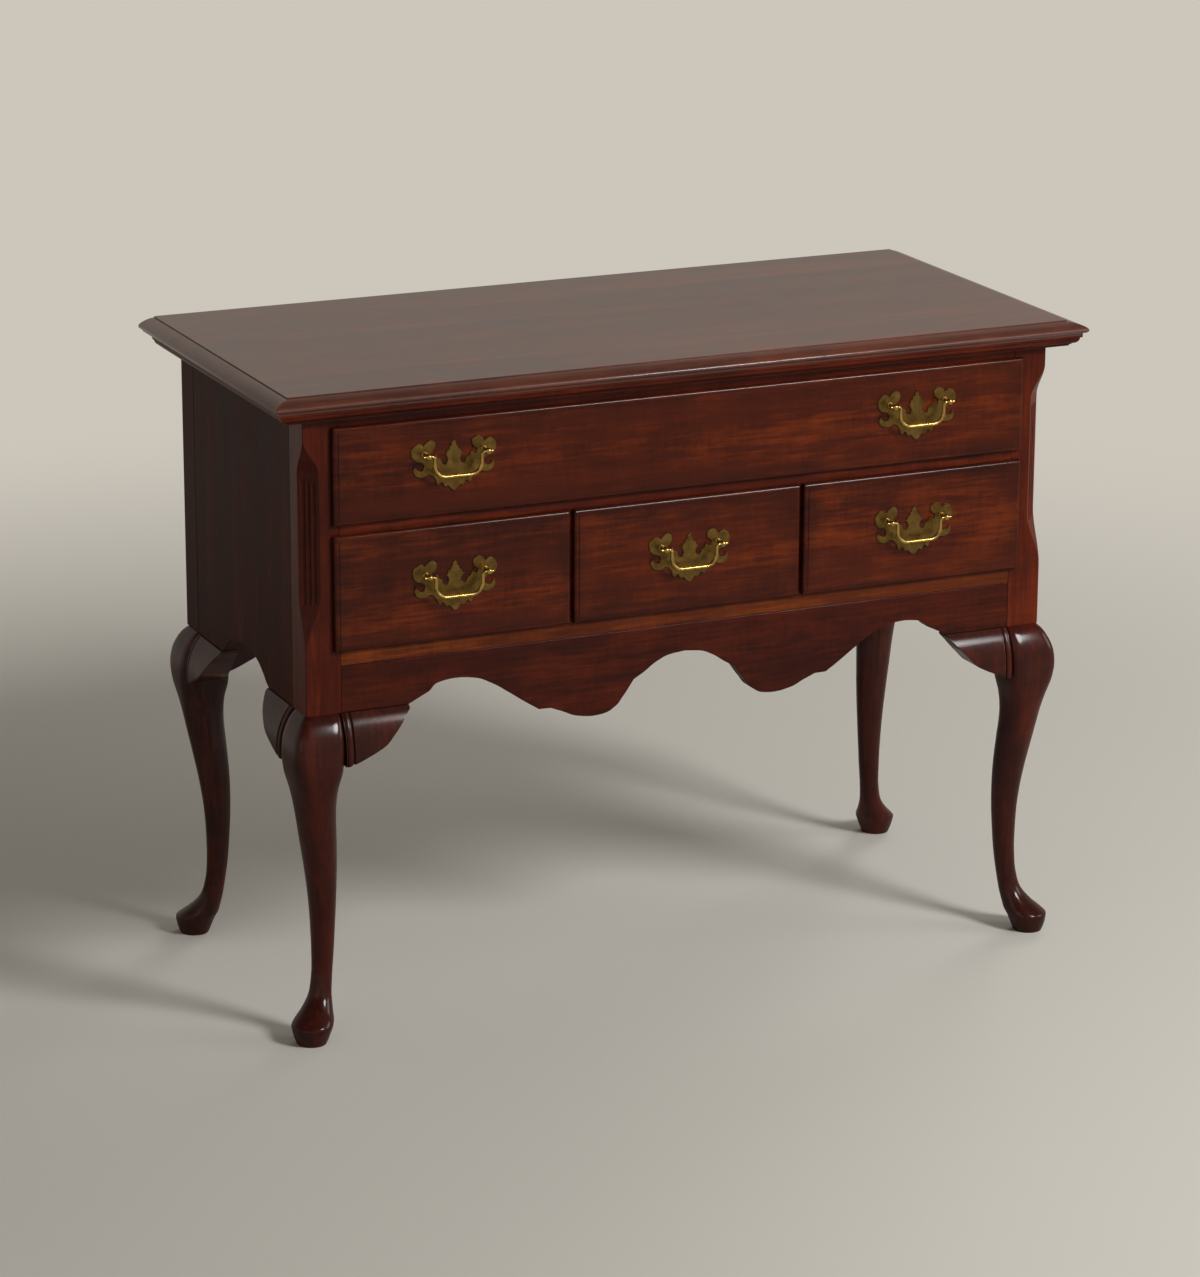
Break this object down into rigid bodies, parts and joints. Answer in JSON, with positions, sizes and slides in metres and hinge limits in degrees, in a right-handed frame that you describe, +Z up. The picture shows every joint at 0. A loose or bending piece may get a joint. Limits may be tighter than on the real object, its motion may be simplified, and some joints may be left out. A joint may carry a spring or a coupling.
{
  "type": "lowboy",
  "caption": "Lowboy on cabriole legs with pad feet, a long drawer over three short drawers, shaped apron, fluted front corners and brass bail pulls.",
  "frame": {"origin": "on the floor, under the middle of the top's outline", "axes": "+X to the right seen from the front, +Y to the back, +Z up"},
  "size_m": [1.051, 0.482, 0.787],
  "materials": {
    "top_wood": "satin lacquer over dark red-brown stained cherry, grain along the length",
    "case_wood": "semi-gloss lacquer over dark red-brown stain",
    "leg_wood": "gloss lacquer over dark red-brown stain",
    "front_wood": "gloss lacquer, grain level across the fronts, darker toner at the edges",
    "rail_wood": "gloss lacquer over a lighter red-brown stain",
    "inside_wood": "plain sanded secondary wood",
    "plate_brass": "antiqued brass, dark in the field and bright on the bevels",
    "bail_brass": "antiqued brass, rubbed bright"
  },
  "bodies": {
    "case": {"top_board": "top_wood", "top_moulding": "case_wood", "post_front_left": "case_wood", "leg_front_left": "leg_wood", "knee_block_long_front_left": "leg_wood", "knee_block_short_front_left": "leg_wood", "post_front_right": "case_wood", "leg_front_right": "leg_wood", "knee_block_long_front_right": "leg_wood", "knee_block_short_front_right": "leg_wood", "post_back_left": "case_wood", "leg_back_left": "leg_wood", "knee_block_long_back_left": "leg_wood", "knee_block_short_back_left": "leg_wood", "post_back_right": "case_wood", "leg_back_right": "leg_wood", "knee_block_long_back_right": "leg_wood", "knee_block_short_back_right": "leg_wood", "side_panel_left": "case_wood", "divider_left": "case_wood", "side_panel_right": "case_wood", "divider_right": "case_wood", "top_rail": "front_wood", "middle_board": "front_wood", "lower_board": "rail_wood", "front_apron": "rail_wood", "back_apron": "case_wood", "back_panel": "inside_wood"},
    "drawer_top": {"drawer_top_front": "front_wood", "drawer_top_box": "inside_wood", "drawer_top_bottom": "inside_wood", "drawer_top_pull_1_plate": "plate_brass", "drawer_top_pull_1_post_left": "bail_brass", "drawer_top_pull_1_post_right": "bail_brass", "drawer_top_pull_2_plate": "plate_brass", "drawer_top_pull_2_post_left": "bail_brass", "drawer_top_pull_2_post_right": "bail_brass"},
    "drawer_left": {"drawer_left_front": "front_wood", "drawer_left_box": "inside_wood", "drawer_left_bottom": "inside_wood", "drawer_left_pull_plate": "plate_brass", "drawer_left_pull_post_left": "bail_brass", "drawer_left_pull_post_right": "bail_brass"},
    "drawer_middle": {"drawer_middle_front": "front_wood", "drawer_middle_box": "inside_wood", "drawer_middle_bottom": "inside_wood", "drawer_middle_pull_plate": "plate_brass", "drawer_middle_pull_post_left": "bail_brass", "drawer_middle_pull_post_right": "bail_brass"},
    "drawer_right": {"drawer_right_front": "front_wood", "drawer_right_box": "inside_wood", "drawer_right_bottom": "inside_wood", "drawer_right_pull_plate": "plate_brass", "drawer_right_pull_post_left": "bail_brass", "drawer_right_pull_post_right": "bail_brass"},
    "drawer_top_1_bail": {"drawer_top_pull_1_bail": "bail_brass"},
    "drawer_top_2_bail": {"drawer_top_pull_2_bail": "bail_brass"},
    "drawer_left_bail": {"drawer_left_pull_bail": "bail_brass"},
    "drawer_middle_bail": {"drawer_middle_pull_bail": "bail_brass"},
    "drawer_right_bail": {"drawer_right_pull_bail": "bail_brass"}
  },
  "joints": [
    {"name": "drawer_top_slide", "type": "slide", "parent": "case", "child": "drawer_top", "axis": [0, -1, 0], "range_m": [0, 0.3]},
    {"name": "drawer_left_slide", "type": "slide", "parent": "case", "child": "drawer_left", "axis": [0, -1, 0], "range_m": [0, 0.3]},
    {"name": "drawer_middle_slide", "type": "slide", "parent": "case", "child": "drawer_middle", "axis": [0, -1, 0], "range_m": [0, 0.3]},
    {"name": "drawer_right_slide", "type": "slide", "parent": "case", "child": "drawer_right", "axis": [0, -1, 0], "range_m": [0, 0.3]},
    {"name": "drawer_top_1_bail_swing", "type": "hinge", "parent": "drawer_top", "child": "drawer_top_1_bail", "pos_m": [-0.3015, -0.2335, 0.704], "axis": [-1, 0, 0], "range_deg": [0, 150]},
    {"name": "drawer_top_2_bail_swing", "type": "hinge", "parent": "drawer_top", "child": "drawer_top_2_bail", "pos_m": [0.3015, -0.2335, 0.704], "axis": [-1, 0, 0], "range_deg": [0, 150]},
    {"name": "drawer_left_bail_swing", "type": "hinge", "parent": "drawer_left", "child": "drawer_left_bail", "pos_m": [-0.301, -0.2335, 0.56], "axis": [-1, 0, 0], "range_deg": [0, 150]},
    {"name": "drawer_middle_bail_swing", "type": "hinge", "parent": "drawer_middle", "child": "drawer_middle_bail", "pos_m": [0, -0.2335, 0.56], "axis": [-1, 0, 0], "range_deg": [0, 150]},
    {"name": "drawer_right_bail_swing", "type": "hinge", "parent": "drawer_right", "child": "drawer_right_bail", "pos_m": [0.301, -0.2335, 0.56], "axis": [-1, 0, 0], "range_deg": [0, 150]}
  ]
}
